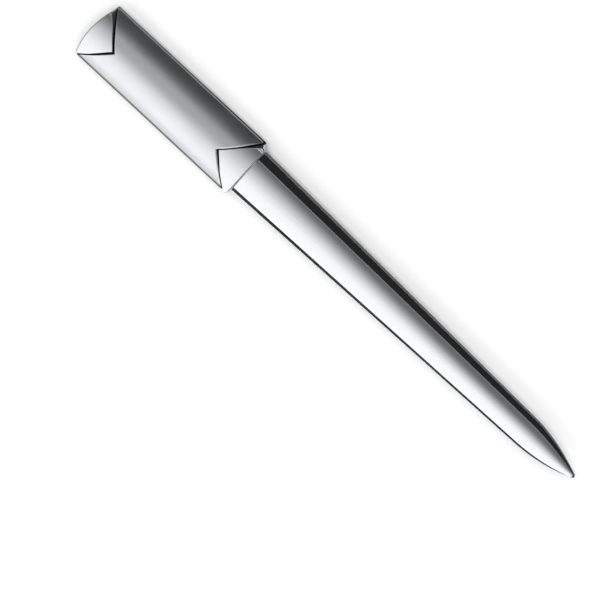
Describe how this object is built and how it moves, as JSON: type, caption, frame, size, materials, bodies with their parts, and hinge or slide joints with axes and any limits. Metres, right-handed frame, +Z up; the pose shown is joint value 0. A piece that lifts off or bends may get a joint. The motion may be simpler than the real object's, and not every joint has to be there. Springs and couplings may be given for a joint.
{
  "type": "letter opener",
  "caption": "Chrome letter opener: arched tapered blade with a pointed tip, and an arched handle shaped like an envelope with folded end flaps.",
  "frame": {"origin": "on the table, below the middle of the overall length, on the middle plane of the opener", "axes": "+X along the opener to the tip of the blade, +Z up out of the arched front, +Y across"},
  "size_m": [0.2, 0.021, 0.0078],
  "materials": {
    "panel_satin_chrome": "satin",
    "body_polished_chrome": "polished",
    "blade_polished_chrome": "polished",
    "back_brushed_steel": "brushed",
    "rivet_steel": "turned"
  },
  "bodies": {
    "root": {"cover_panel": "panel_satin_chrome", "handle_body": "body_polished_chrome", "blade": "blade_polished_chrome", "back_plate": "back_brushed_steel", "tang_rivets": "rivet_steel"}
  },
  "joints": []
}
